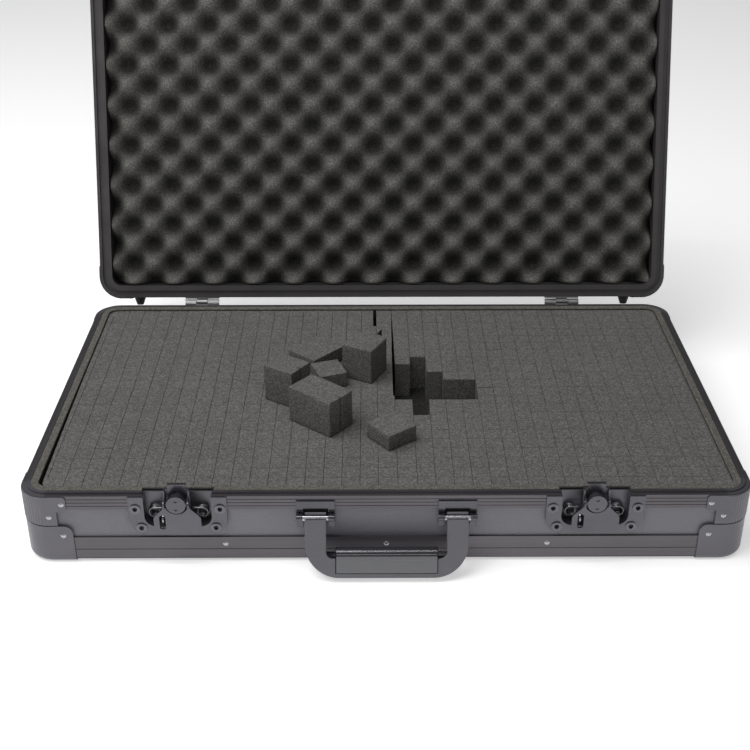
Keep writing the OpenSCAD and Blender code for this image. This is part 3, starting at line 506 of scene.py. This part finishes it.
def opened(x, y, x0, x1, y0, y1):
    """Moves a column's corner where a slit stands open."""
    back = min(max((y - WEDGE_FRONT) / (FOAM_HALF_D - WEDGE_FRONT), 0), 1)
    if x == x1 and near(x1, WEDGE_LINE) and y0 > HOLE_FRONT - NEAR:
        x = WEDGE_LEFT[0] + (WEDGE_LEFT[1] - WEDGE_LEFT[0]) * back - SLIT_X / 2
    if x == x0 and near(x0, WEDGE_LINE) and y0 > 0:
        x = WEDGE_RIGHT[0] + (WEDGE_RIGHT[1] - WEDGE_RIGHT[0]) * back + SLIT_X / 2
    if x == x1 and near(x1, SLOT_LINE) and y0 > SLOT_FRONT - NEAR:
        x -= SLOT_W
    if y == y1 and near(y1, CROSS_SLIT_Y) and near(x0, CROSS_SLIT_X):
        y -= CROSS_SLIT_W
    return x, y


def hole_column(xs, i):
    """Which column of the plucked hole column i is, or None."""
    hole = round((xs[i] - HOLE_X) / CELL)
    return hole if i > 0 and 0 <= hole < len(HOLE_REAR) else None


def lines_along(hole, right_x):
    """The lines that part one row of columns, from front to rear."""
    lines = grid_lines(ROW_0, FOAM_HALF_D)
    if hole is not None:
        lines += [HOLE_FRONT, HOLE_REAR[hole]]
    if hole == STEP_COLUMN:
        lines.append(STEP_FRONT)
    if near(right_x, SLOT_LINE):
        lines.append(SLOT_FRONT)
    return sorted(set(round(y, 5) for y in lines))


def column_top(hole, y):
    """The height of the foam's top at y, or None where it is plucked."""
    if hole is not None and HOLE_FRONT < y < HOLE_REAR[hole]:
        return None
    if hole == STEP_COLUMN and STEP_FRONT < y < HOLE_FRONT:
        return FOAM_TOP - STEP_H
    return FOAM_TOP


def rounded(outline, corner):
    """The rectangle with an arc in place of one corner, counted from the front left."""
    cx, cy = outline[corner]
    sx, sy = (1 if corner in (0, 3) else -1), (1 if corner in (0, 1) else -1)
    start = math.radians([180, 270, 0, 90][corner])
    arc = [(cx + sx * FOAM_R + FOAM_R * math.cos(start + math.radians(a)),
            cy + sy * FOAM_R + FOAM_R * math.sin(start + math.radians(a))) for a in range(0, 91, 15)]
    return outline[:corner] + arc + outline[corner + 1:]


def cut_foam():
    """All squares; the end columns of the first and last rows are one with their neighbours."""
    rng = random.Random(7)
    xs = columns_across()
    last = len(xs) - 2
    verts, faces = [], []
    for i in range(last + 1):
        hole = hole_column(xs, i)
        lines = lines_along(hole, xs[i + 1])
        for j in range(len(lines) - 1):
            first_y, last_y = j == 0, j == len(lines) - 2
            end_row = first_y or last_y
            top = column_top(hole, (lines[j] + lines[j + 1]) / 2)
            if top is None or (end_row and i in (0, last)):
                continue
            x0 = xs[i] + (0 if i == 0 else SLIT_X / 2)
            x1 = xs[i + 1] - (0 if i == last else SLIT_X / 2)
            y0 = lines[j] + (0 if first_y else SLIT_Y / 2)
            y1 = lines[j + 1] - (0 if last_y else SLIT_Y / 2)
            if end_row and i == 1:
                x0 = xs[0]
            if end_row and i == last - 1:
                x1 = xs[-1]
            outline = [opened(x, y, x0, x1, y0, y1) for x, y in ((x0, y0), (x1, y0), (x1, y1), (x0, y1))]
            if end_row and i == 1:
                outline = rounded(outline, 0 if first_y else 3)
            if end_row and i == last - 1:
                outline = rounded(outline, 1 if first_y else 2)
            outline = [(x + left_pull(y) if x < xs[0] + EDGE_REACH else x, y) for x, y in outline]
            base = rng.gauss(0, UNEVEN_COLUMN)
            lift = [base + rng.gauss(0, UNEVEN_CORNER) for _ in outline]
            parts = [outline]
            left, front, rear = TEAR
            if left[0] - NEAR < x0 < front[0] and front[1] - NEAR < y0 < rear[1] - NEAR:
                parts = [[outline[0], front, left], [left, rear, outline[3]],
                         [front, outline[1], outline[2], rear]]
            for part in parts:
                column(verts, faces, part, FOAM_FLOOR, top, lift[:len(part)])
    return mesh_object("cut_foam_squares", verts, faces, "foam")


piece = cut_foam()
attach(piece, "base")
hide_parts("pick_foam")


# Ripples that make a foam face uneven: how many are added up, and their turns in radians a metre
WAVES = 6
WAVE_TURNS = 120


def subdivided_block(name, low, high, step, round_mm, roughen, seed, material="foam"):
    """A foam slab or block with rounded edges and slightly uneven faces."""
    size = Vector(high) - Vector(low)
    bm = bmesh.new()
    bmesh.ops.create_cube(bm, size=1.0)
    for v in bm.verts:
        v.co = Vector([(v.co[axis] + 0.5) * size[axis] + low[axis] for axis in range(3)])
    bmesh.ops.bevel(bm, geom=bm.edges[:], offset=round_mm * MM, segments=2, affect="EDGES", profile=0.6)
    for axis in range(3):
        cuts = int(size[axis] / step)
        for i in range(1, cuts + 1):
            place = Vector(low)
            place[axis] += size[axis] * i / (cuts + 1)
            normal = Vector((0, 0, 0))
            normal[axis] = 1
            geometry = bm.verts[:] + bm.edges[:] + bm.faces[:]
            bmesh.ops.bisect_plane(bm, geom=geometry, plane_co=place, plane_no=normal)
    bm.normal_update()
    rng = np.random.default_rng(seed)
    wave = rng.normal(0, 1, (WAVES, 3)) * WAVE_TURNS
    phase = rng.uniform(0, 6.28, WAVES)
    moves = []
    for v in bm.verts:
        h = sum(math.sin(wave[k] @ np.array(v.co) + phase[k]) for k in range(WAVES)) / WAVES
        moves.append((v, v.normal.copy() * (h - 1) * roughen))
    for v, d in moves:
        v.co += d
    mesh = bpy.data.meshes.new(name)
    bm.to_mesh(mesh)
    bm.free()
    obj = linked(name, mesh)
    mesh.materials.append(MATERIALS[material])
    for polygon in mesh.polygons:
        polygon.use_smooth = True
    return obj


# The bottom layer, in foam darkened as painted shade
low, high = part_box("base_foam")
piece = subdivided_block("foam_bottom_layer", low, high, 0.02, 1.5, 0.0003, 3, "painted_shade_bottom_foam")
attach(piece, "base")
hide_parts("base_foam")

# Plucked blocks lying on the foam, in millimetres: letter, middle, turn, length, width, height
BLOCKS = [
    ("a", (-87.5, -18), -34, 31.5, 28.5, 35),
    ("b", (-56.1, -62.1), -40, 48, 30.5, 34),
    ("c", (-18, 27.4), -28, 31, 32, 34),
    ("d", (-51, 11), 20, 27, 29, 15),
    ("e", (-63, 53), -42, 35, 45, 15),
    ("f", (5.3, -89.8), -52, 31, 30.5, 15),
]
# Slits in their right faces, in millimetres: place along the face, width and depth
BLOCK_SLITS = {"a": (0.0, 0.9, 4.0), "b": (-0.5, 1.3, 6.0)}
SLIT_TIP = 0.1
BLOCK_GAP = 0.0003


def cut_slit(piece, face_x, place, width, depth, height):
    """Cuts an upright slit, a wedge in plan, into the face at face_x. All sizes in millimetres."""
    outline = [(face_x + 1, place - width / 2), (face_x + 1, place + width / 2),
               (face_x - depth, place + SLIT_TIP), (face_x - depth, place - SLIT_TIP)]
    verts = [(x * MM, y * MM, z * MM) for z in (-1, height + 1) for x, y in outline]
    sides = [(k, (k + 1) % 4, (k + 1) % 4 + 4, k + 4) for k in range(4)]
    faces = [(3, 2, 1, 0), (4, 5, 6, 7)] + sides
    knife = mesh_object("slit_knife", verts, faces, "foam")
    cut = piece.modifiers.new("slit", "BOOLEAN")
    cut.operation = "DIFFERENCE"
    cut.solver = "EXACT"
    cut.object = knife
    evaluated = piece.evaluated_get(bpy.context.evaluated_depsgraph_get())
    slitted = bpy.data.meshes.new_from_object(evaluated)
    piece.modifiers.clear()
    piece.data = slitted
    bpy.data.objects.remove(knife)


for index, (letter, middle, turn, length, width, height) in enumerate(BLOCKS):
    low = (-length * MM / 2, -width * MM / 2, 0)
    high = (length * MM / 2, width * MM / 2, height * MM)
    piece = subdivided_block("loose_foam_" + letter, low, high, 0.005, 0.8, 0.00035, 20 + index)
    if letter in BLOCK_SLITS:
        place, slit_w, slit_d = BLOCK_SLITS[letter]
        cut_slit(piece, length / 2, place, slit_w, slit_d, height)
    lying = Matrix.Translation((middle[0] * MM, middle[1] * MM, FOAM_TOP + BLOCK_GAP))
    piece.data.transform(lying @ Matrix.Rotation(math.radians(turn), 4, "Z"))
    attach(piece, "base")
    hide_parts("loose_foam_blocks")
    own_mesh(piece)


# Wavy foam in the lid, drawn as if the lid were closed, peaks down. EGG_ACROSS half waves lie
# across it, on EGG_NX times EGG_STEPS mesh steps; heights count from 0, a hollow, to 1, a peak.

EGG_HALF_W = 0.2815
EGG_HALF_D = 0.1630
EGG_NX = 27
EGG_ACROSS = 26.8
EGG_NY = 16
EGG_STEPS = 8
EGG_LOW = 0.0659
EGG_WAVE = 0.017
EGG_BACK = 0.0986
EGG_UNEVEN = 0.0005
EGG_FLATTEN = 0.85
# Height value given to the sides and back, which darkens them as painted shade
EGG_SIDE_SHADE_HEIGHT = 0.35


def wavy_foam():
    nx, ny = EGG_NX * EGG_STEPS, EGG_NY * EGG_STEPS
    rng = np.random.default_rng(11)
    uneven = rng.normal(0, EGG_UNEVEN, (EGG_NY + 1, EGG_NX + 1))
    verts, heights = [], []
    for j in range(ny + 1):
        v = j / EGG_STEPS
        for i in range(nx + 1):
            u = EGG_ACROSS * i / nx
            wave = -math.cos(math.pi * u) * math.cos(math.pi * v)
            height = 0.5 + 0.5 * math.copysign(abs(wave) ** EGG_FLATTEN, wave)
            drift = uneven[round(v), round(u)] * height
            verts.append((-EGG_HALF_W + 2 * EGG_HALF_W * i / nx, -EGG_HALF_D + 2 * EGG_HALF_D * j / ny,
                          EGG_LOW + EGG_WAVE * (1 - height) + abs(drift)))
            heights.append(height)
    row = nx + 1
    faces = [(j * row + i, (j + 1) * row + i, (j + 1) * row + i + 1, j * row + i + 1)
             for j in range(ny) for i in range(nx)]
    ring = ([i for i in range(nx)] + [j * row + nx for j in range(ny)]
            + [ny * row + i for i in range(nx, 0, -1)] + [j * row for j in range(ny, 0, -1)])
    start = len(verts)
    for level in (0.5, 1.0):
        for r in ring:
            x, y, z = verts[r]
            verts.append((x, y, z + (EGG_BACK - z) * level))
            heights.append(EGG_SIDE_SHADE_HEIGHT)
    n = len(ring)
    for k in range(n):
        k1 = (k + 1) % n
        faces.append((ring[k], ring[k1], start + k1, start + k))
        faces.append((start + k, start + k1, start + n + k1, start + n + k))
    faces.append(tuple(start + n + k for k in range(n)))
    obj = mesh_object("lid_wavy_foam", verts, faces, "lid_foam", smooth=True)
    obj.data.polygons[len(faces) - 1].use_smooth = False
    # These heights drive the painted shade and painted light in the lid foam's colour
    attribute = obj.data.attributes.new("height", "FLOAT", "POINT")
    attribute.data.foreach_set("value", np.array(heights, np.float32))
    obj.data.transform(LID_POSE)
    return obj


piece = wavy_foam()
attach(piece, "lid")
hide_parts("lid_foam")


# Latch springs as round wire. The SPRING sizes and LEG are in millimetres.

SPRING_X = 19.3
SPRING_Z = 46.8
SPRING_WIRE = 1.3
SPRING_COIL = (10 - SPRING_WIRE) / 2
SPRING_PITCH = SPRING_WIRE + 0.45
SPRING_TURNS = 2.5
SPRING_Y = 8 - 0.3 - SPRING_WIRE / 2
LEG = SPRING_X - 10.5 - 0.7
TURN_STEPS = 28
WIRE_SIDES = 12


def tube(name, path, radius, sides, material):
    """A closed tube of round wire along path."""
    points = [Vector(p) for p in path]
    n = len(points)
    verts, faces = [], []
    side = None
    for i, p in enumerate(points):
        along = (points[min(i + 1, n - 1)] - points[max(i - 1, 0)]).normalized()
        if side is None:
            side = along.orthogonal().normalized()
        side = (side - along * side.dot(along)).normalized()
        other = along.cross(side)
        for k in range(sides):
            a = 2 * math.pi * k / sides
            verts.append(p + radius * (math.cos(a) * side + math.sin(a) * other))
    for i in range(n - 1):
        for k in range(sides):
            a, b = i * sides + k, i * sides + (k + 1) % sides
            faces.append((a, b, b + sides, a + sides))
    faces.append(tuple(sides - 1 - k for k in range(sides)))
    faces.append(tuple((n - 1) * sides + k for k in range(sides)))
    return mesh_object(name, verts, faces, material, smooth=True)


def spring_path(flip):
    """A leg, the coil from its foot inwards, and the other leg; flip mirrors it in X."""
    def place(x, y, z):
        return Vector((flip * x, y, z)) * MM

    first = place(-SPRING_X, SPRING_Y, SPRING_Z - SPRING_COIL)
    path = [first + Vector((flip * LEG * MM * t, 0, 0)) for t in (1, 0.66, 0.33)]
    for i in range(int(SPRING_TURNS * TURN_STEPS) + 1):
        a = math.radians(270) - 2 * math.pi * i / TURN_STEPS
        path.append(place(-SPRING_X + SPRING_COIL * math.cos(a),
                          SPRING_Y - SPRING_PITCH * i / TURN_STEPS,
                          SPRING_Z + SPRING_COIL * math.sin(a)))
    last = path[-1]
    return path + [last + Vector((flip * LEG * MM * t, 0, 0)) for t in (0.33, 0.66, 1)]


for side, sx in (("left", -1), ("right", 1)):
    for tag, flip in (("outer", 1), ("inner", -1)):
        name = "latch_%s_spring_%s" % (side, tag)
        piece = tube(name, spring_path(flip), SPRING_WIRE / 2 * MM, WIRE_SIDES, "spring")
        piece.data.transform(Matrix.Translation((sx * LATCH_X, -HALF_D, 0)))
        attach(piece, "base")
        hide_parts("latch_%s_springs" % side)


# Reeded sheets on the upright corners

RIBS = 13
RIB_STEPS = 6
RIB_DEPTH = 0.35
REED_ARC = 86
REED_MARGIN = 2


def corner_signs(q):
    """The signs of X and Y at the q-th corner, counted anticlockwise from the rear right."""
    return (1 if q in (0, 3) else -1), (1 if q < 2 else -1)


def reeding(name, low, high, pose, body):
    """Upright ribs round each corner bracket, between two heights."""
    verts, faces = [], []
    n = RIBS * RIB_STEPS
    for q in range(4):
        sx, sy = corner_signs(q)
        centre = Vector((sx * (HALF_W - CORNER_R), sy * (HALF_D - CORNER_R), 0))
        start = len(verts)
        for i in range(n + 1):
            a = math.radians(90 * q + REED_MARGIN + REED_ARC * i / n)
            swell = (1 - math.cos(2 * math.pi * i / RIB_STEPS)) / 2
            root = CORNER_R + 0.5 * MM
            out = CORNER_R + (1 + RIB_DEPTH * swell) * MM - 0.00005
            direction = Vector((math.cos(a), math.sin(a), 0))
            for r, z in ((root, low), (out, low + 0.3 * MM), (out, high - 0.3 * MM), (root, high)):
                verts.append(centre + direction * r + Vector((0, 0, z)))
        for i in range(n):
            a = start + i * 4
            for k in range(3):
                faces.append((a + k, a + k + 4, a + k + 5, a + k + 1))
            faces.append((a, a + 3, a + 7, a + 4))
        faces.append((start, start + 1, start + 2, start + 3))
        end = start + n * 4
        faces.append((end + 3, end + 2, end + 1, end))
    obj = mesh_object(name, verts, faces, "corner", smooth=False)
    if pose is not None:
        obj.data.transform(pose)
    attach(obj, body)


reeding("base_corner_reeds", 0.0362, 0.0630, None, "base")
reeding("lid_corner_reeds", RIM_Z + 0.001, RIM_Z + 0.0117, LID_POSE, "lid")


# Soft seal on the rim: a strip from the tongue to the foam

DISH_HALF = 0.0286
TONGUE_IN = 0.0066
TONGUE_H = 0.0015
SEAL_STEPS = 9
SEAL_ROUND = 0.0005
SEAL_BEHIND = 0.0110
SEAL_LEAST_W = 0.0012
SEAL_GAP = 0.0001
SEAL_LAP = 0.0006


def ring_points(inset, inset_behind, z):
    """A closed loop round the case, inset from its outer face, and more so behind the latches."""
    loop = []
    for q in range(4):
        sx, sy = corner_signs(q)
        centre = (sx * (HALF_W - CORNER_R), sy * (HALF_D - CORNER_R))
        r = CORNER_R - inset
        for i in range(SEAL_STEPS + 1):
            a = math.radians(90 * (q + i / SEAL_STEPS))
            loop.append((centre[0] + r * math.cos(a), centre[1] + r * math.sin(a), z))
        if q == 2:
            for sx in (-1, 1):
                marks = [(-DISH_HALF - 0.0003, inset), (-DISH_HALF, inset_behind),
                         (DISH_HALF, inset_behind), (DISH_HALF + 0.0003, inset)]
                loop += [(sx * LATCH_X + x, -HALF_D + y, z) for x, y in marks]
    return loop


def strip(name, outer, inner, low, high, material):
    """A strip with rounded upper edges round the rim; it narrows behind the latches."""
    soft = min(SEAL_ROUND, (high - low) / 2)
    outer_behind = max(outer, SEAL_BEHIND)
    inner_behind = max(inner, outer_behind + SEAL_LEAST_W)
    rings = [ring_points(outer + out * soft, outer_behind + out * soft, z)
             for out, z in ((0, low), (0, high - soft), (0.3, high - 0.3 * soft), (1, high))]
    rings += [ring_points(inner - back * soft, inner_behind - back * soft, z)
              for back, z in ((1, high), (0, high - soft), (0, low))]
    n = len(rings[0])
    verts = [p for r in rings for p in r]
    faces = []
    for k in range(len(rings)):
        following = (k + 1) % len(rings) * n
        for i in range(n):
            j = (i + 1) % n
            faces.append((k * n + i, k * n + j, following + j, following + i))
    return mesh_object(name, verts, faces, material)


piece = strip("rim_seal", TONGUE_IN + SEAL_GAP, RIM_W + SEAL_LAP, BASE_H, BASE_H + TONGUE_H, "seal")
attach(piece, "base")
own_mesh(piece)


# Black rubber pads in the panel's recess behind the handle brackets' windows

PAD_HALF_W = 0.0098
PAD_Y = (-0.1769, -0.1760)
PAD_Z = (0.0440, 0.0514)
for side, x in (("left", -0.057), ("right", 0.057)):
    low = (x - PAD_HALF_W, PAD_Y[0], PAD_Z[0])
    high = (x + PAD_HALF_W, PAD_Y[1], PAD_Z[1])
    piece = subdivided_block("handle_pad_" + side, low, high, 0.004, 0.3, 0.0, 31, "rubber_black")
    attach(piece, "base")


# Bright rod through the grip, showing at both of its ends

ROD_R = 0.0023
ROD_LENGTH = 0.0964


def grip_rod():
    bm = bmesh.new()
    bmesh.ops.create_cone(bm, cap_ends=True, segments=32, radius1=ROD_R, radius2=ROD_R, depth=ROD_LENGTH)
    mesh = bpy.data.meshes.new("grip_rod")
    bm.to_mesh(mesh)
    bm.free()
    obj = linked("grip_rod", mesh)
    mesh.materials.append(MATERIALS["chrome"])
    for polygon in mesh.polygons:
        polygon.use_smooth = len(polygon.vertices) == 4
    across = Matrix.Rotation(math.radians(90), 4, "Y")
    mesh.transform(HANDLE_POSE @ Matrix.Translation((0, 0, GRIP_ROLL_Z)) @ across)
    return obj


piece = grip_rod()
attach(piece, "handle")


# Studio: a floor just under the case, soft lights

FLOOR_HALF = 40.0
FLOOR_Z = -0.0002
FLOOR_GLOW = 0.45
WORLD_LIGHT = 0.11


def stage():
    floor_mat = Shader("floor_white", (0.9, 0.9, 0.9), 0.9, Emission_Color=(1, 1, 1, 1),
                       Emission_Strength=FLOOR_GLOW)
    floor_mat.shade(floor_mat.spread(floor_mat.noise(2.0), 0.0, 1.0, 0.99, 1.01))
    mesh = bpy.data.meshes.new("floor")
    signs = ((-1, -1), (1, -1), (1, 1), (-1, 1))
    corners = [(sx * FLOOR_HALF, sy * FLOOR_HALF, FLOOR_Z) for sx, sy in signs]
    mesh.from_pydata(corners, [], [(0, 1, 2, 3)])
    mesh.materials.append(floor_mat.mat)
    floor = linked("floor", mesh)


def area_light(name, place, aim, width, height, power):
    light = bpy.data.lights.new(name, "AREA")
    light.shape = "RECTANGLE"
    light.size = width
    light.size_y = height
    light.energy = power
    obj = linked(name, light)
    obj.location = place
    obj.rotation_euler = (Vector(aim) - Vector(place)).to_track_quat("-Z", "Y").to_euler()


stage()
world = bpy.data.worlds.new("studio")
world.use_nodes = True
background = world.node_tree.nodes["Background"]
background.inputs["Color"].default_value = (1, 1, 1, 1)
background.inputs["Strength"].default_value = WORLD_LIGHT
bpy.context.scene.world = world
bpy.context.scene.view_settings.view_transform = "Standard"
area_light("key", (-0.95, -0.25, 1.9), (0, 0, 0.05), 2.0, 1.6, 34)
area_light("front", (0.2, -2.2, 1.2), (0, 0, 0.05), 1.8, 0.1, 3.2)
area_light("strip", (0, -0.35, 2.0), (0, -0.18, 0.03), 1.7, 0.12, 6)

# Camera fitted to the photograph's edges; its focal length is in the photograph's pixels
ELEVATION = math.radians(28.717)
YAW = math.radians(0.308)
PHOTO_WIDTH = 750
FOCAL_LENGTH = 1230.98
camera = bpy.data.cameras.new("camera")
camera.sensor_fit = "HORIZONTAL"
camera.sensor_width = 36
camera.lens = camera.sensor_width * FOCAL_LENGTH / PHOTO_WIDTH
view = linked("camera", camera)
view.location = (-0.0137, -0.99127, 0.61984)
view.rotation_euler = (math.radians(90) - ELEVATION, 0, -YAW)
bpy.context.scene.camera = view

bpy.context.view_layer.update()
